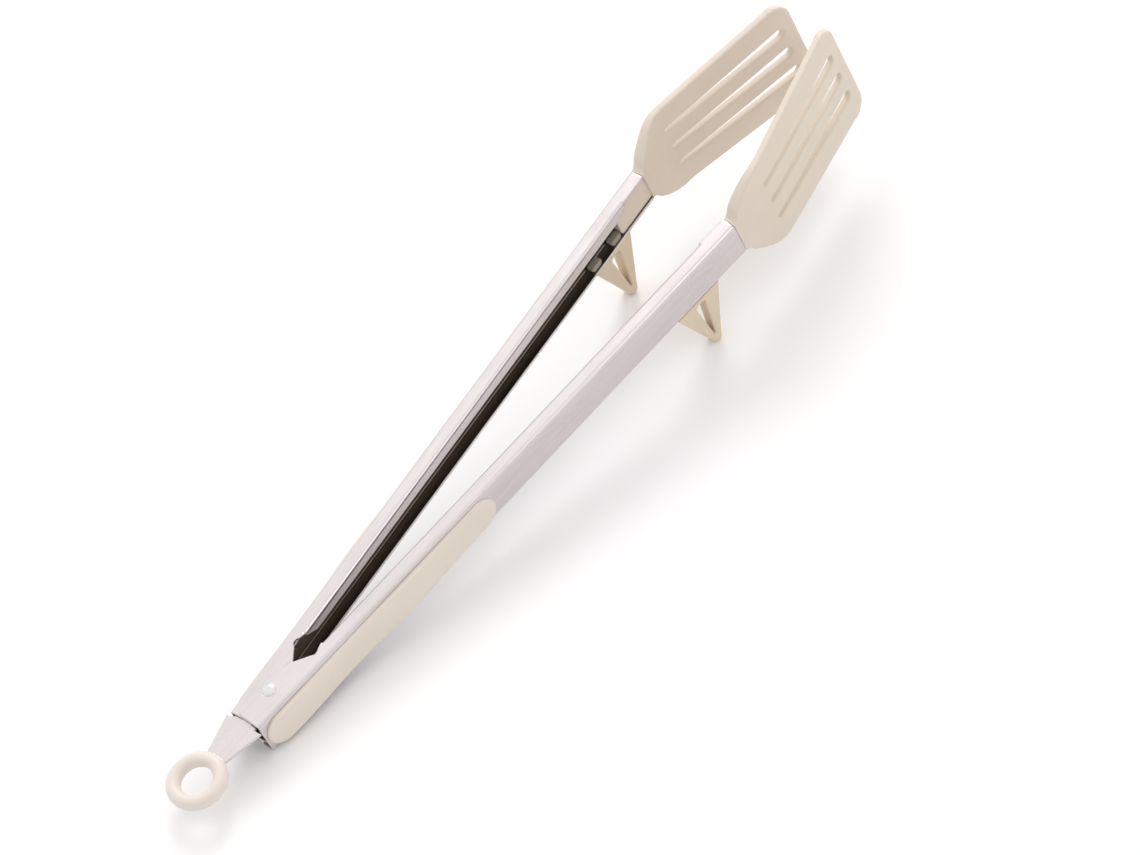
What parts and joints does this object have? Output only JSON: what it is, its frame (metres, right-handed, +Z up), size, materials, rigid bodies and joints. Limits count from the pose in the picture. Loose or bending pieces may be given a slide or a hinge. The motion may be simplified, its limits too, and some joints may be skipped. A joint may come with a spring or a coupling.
{
  "type": "spring loaded kitchen tongs",
  "caption": "Spring loaded kitchen tongs: two steel channel arms on a rivet, slotted spatula heads, grip pads, stand feet and a sliding pull ring.",
  "frame": {"origin": "middle of the footprint, on the surface that the tongs stand on", "axes": "+Y from the pull ring to the heads, +Z up, +X towards the right-hand arm as seen from the ring; the arms lie 6.7 degrees nose-up, as they rest on their feet"},
  "size_m": [0.051, 0.3572, 0.0687],
  "materials": {
    "steel": "fine satin brushing along the arms",
    "rivet_steel": "polished",
    "spring_steel": "drawn wire",
    "head_silicone": "matte cream silicone",
    "grip_plastic": "matte cream, soft to the touch",
    "ring_plastic": "satin pale cream",
    "foot_plastic": "satin warm cream",
    "core_nylon": "plain moulded nylon"
  },
  "bodies": {
    "pivot": {"pivot_rivet": "rivet_steel", "torsion_spring": "spring_steel"},
    "right_side": {"right_arm": "steel", "right_grip": "grip_plastic", "right_head": "head_silicone", "right_head_core": "core_nylon", "right_foot": "foot_plastic"},
    "left_side": {"left_arm": "steel", "left_grip": "grip_plastic", "left_head": "head_silicone", "left_head_core": "core_nylon", "left_foot": "foot_plastic"},
    "pull_tab": {"lock_plate": "steel", "hang_ring": "ring_plastic"}
  },
  "joints": [
    {"name": "right_arm_swing", "type": "hinge", "parent": "pivot", "child": "right_side", "pos_m": [0, -0.12706, 0.00953], "axis": [0, -0.1165, 0.9932], "range_deg": [-5, 1.6], "stiffness_Nm_per_rad": 1.2, "deforming": ["torsion_spring"]},
    {"name": "left_arm_swing", "type": "hinge", "parent": "pivot", "child": "left_side", "pos_m": [0, -0.12706, 0.00953], "axis": [0, -0.1165, 0.9932], "range_deg": [-1.6, 5], "stiffness_Nm_per_rad": 1.2},
    {"name": "ring_slide", "type": "slide", "parent": "pivot", "child": "pull_tab", "axis": [0, -0.9932, -0.1165], "range_m": [0, 0.008]}
  ],
  "couplings": [
    {"joint": "left_arm_swing", "follows": "right_arm_swing", "ratio": -1}
  ]
}
